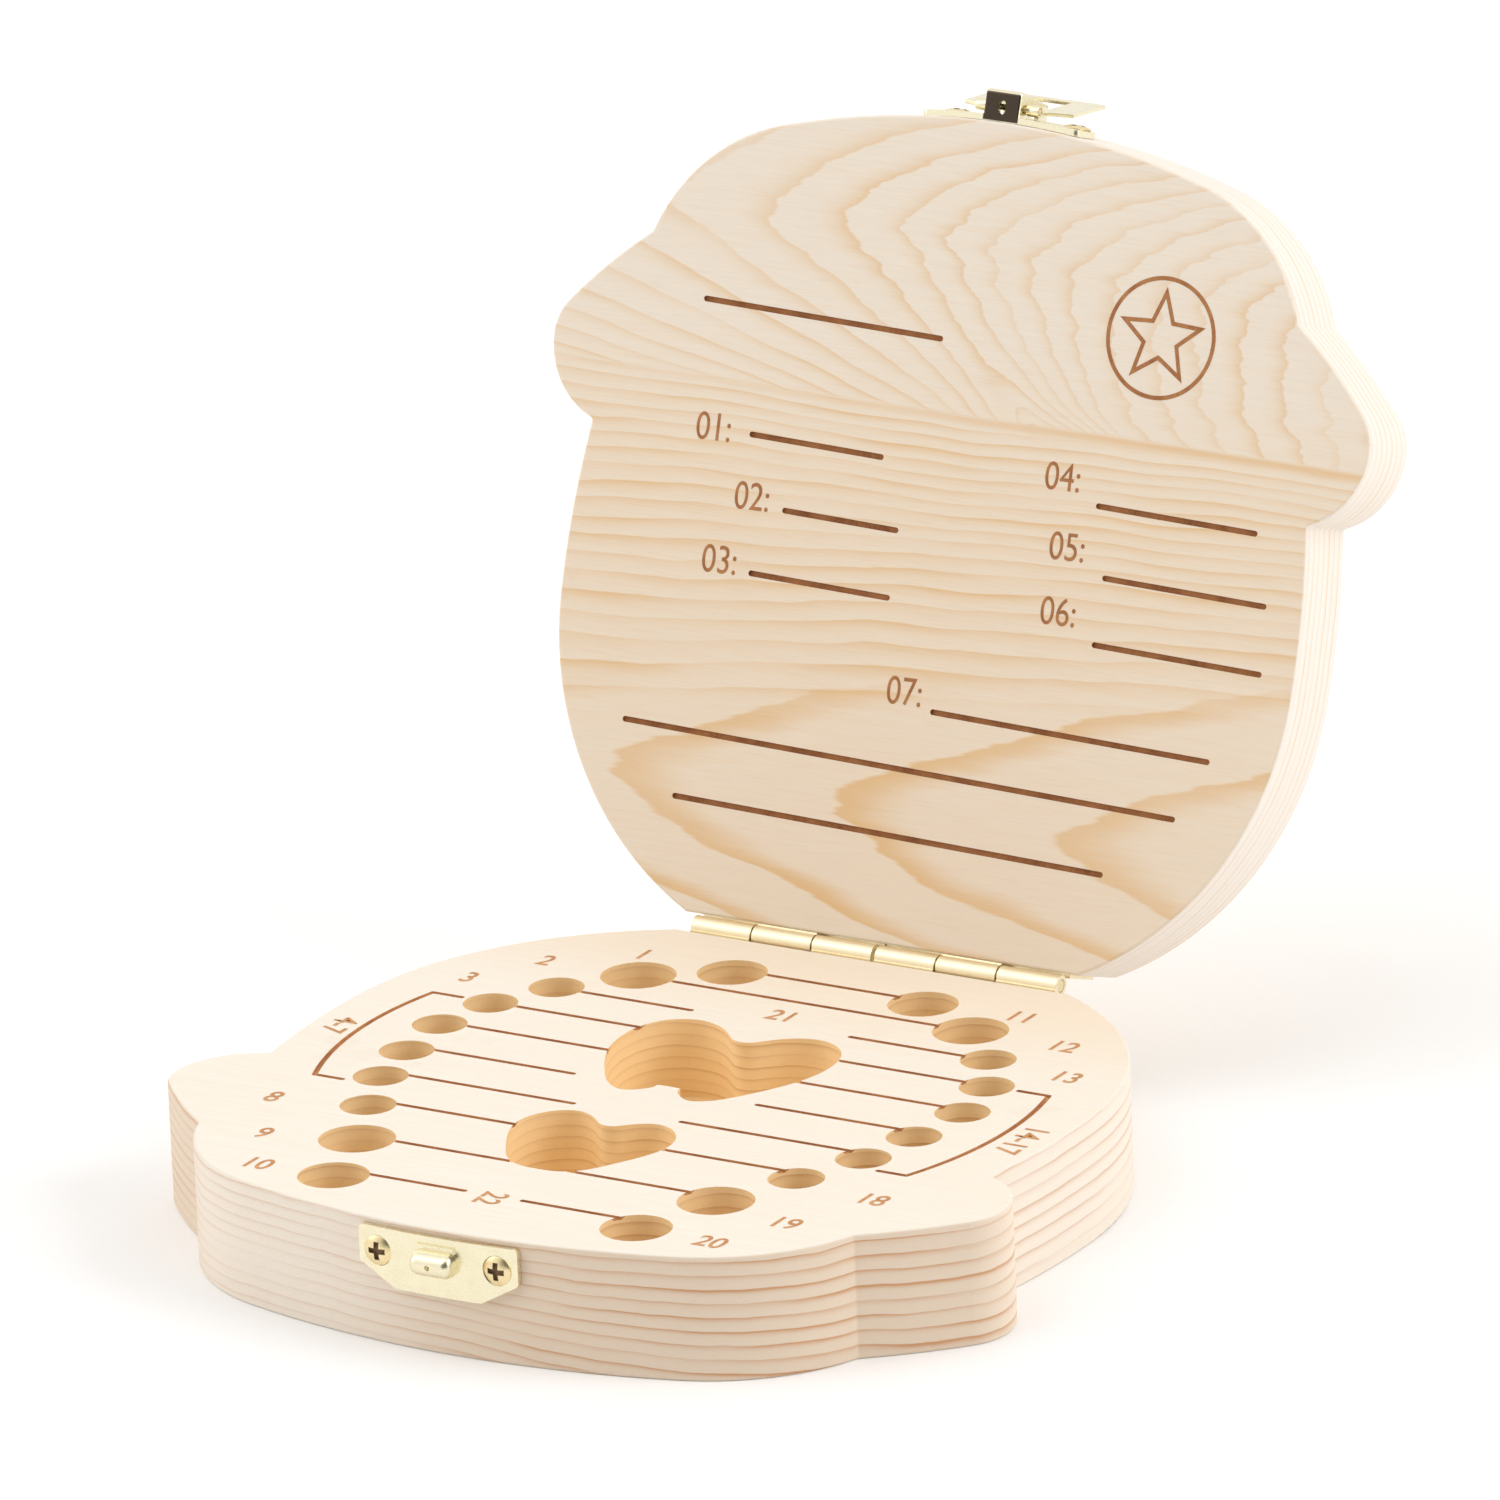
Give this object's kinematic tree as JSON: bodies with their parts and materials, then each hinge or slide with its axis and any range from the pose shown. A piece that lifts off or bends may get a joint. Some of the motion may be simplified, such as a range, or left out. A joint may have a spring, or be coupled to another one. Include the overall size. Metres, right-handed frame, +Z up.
{
  "type": "baby tooth box",
  "caption": "Flat wooden keepsake box for milk teeth: a tray with bored holes and pockets, a lid of the same outline on butt hinges, and a hasp latch.",
  "frame": {"origin": "centre of the tray's underside, which the box stands on", "axes": "+Z up out of the tray, +Y towards the hinges, +X to the right seen from the latch side; the lid stands open"},
  "size_m": [0.12, 0.1624, 0.1204],
  "materials": {
    "tray_wood": "sanded pale pine with burnt lines",
    "lid_wood": "sanded pale pine with burnt lines",
    "hinge_brass": "pale brass plate",
    "pin_brass": "plain brass wire",
    "screw_brass": "brass-plated screw",
    "latch_brass": "pale brass plate",
    "hasp_brass": "pale brass plate"
  },
  "bodies": {
    "tray": {"tray_body": "tray_wood", "left_hinge_tray_leaf": "hinge_brass", "right_hinge_tray_leaf": "hinge_brass", "left_hinge_pin": "pin_brass", "right_hinge_pin": "pin_brass", "left_hinge_tray_screws": "screw_brass", "right_hinge_tray_screws": "screw_brass", "catch_plate": "latch_brass", "catch_left_screw": "screw_brass", "catch_right_screw": "screw_brass"},
    "lid": {"lid_body": "lid_wood", "left_hinge_lid_leaf": "hinge_brass", "right_hinge_lid_leaf": "hinge_brass", "left_hinge_lid_screws": "screw_brass", "right_hinge_lid_screws": "screw_brass", "latch_plate": "latch_brass", "latch_left_screw": "screw_brass", "latch_right_screw": "screw_brass", "latch_hasp_pin": "pin_brass"},
    "hasp": {"latch_hasp": "hasp_brass"}
  },
  "joints": [
    {"name": "lid_hinge", "type": "hinge", "parent": "tray", "child": "lid", "pos_m": [0, 0.0544, 0.01655], "axis": [1, 0, 0], "range_deg": [0, 110]},
    {"name": "hasp_hinge", "type": "hinge", "parent": "lid", "child": "hasp", "pos_m": [0, 0.09507, 0.1179], "axis": [1, 0, 0], "range_deg": [0, 168]}
  ]
}
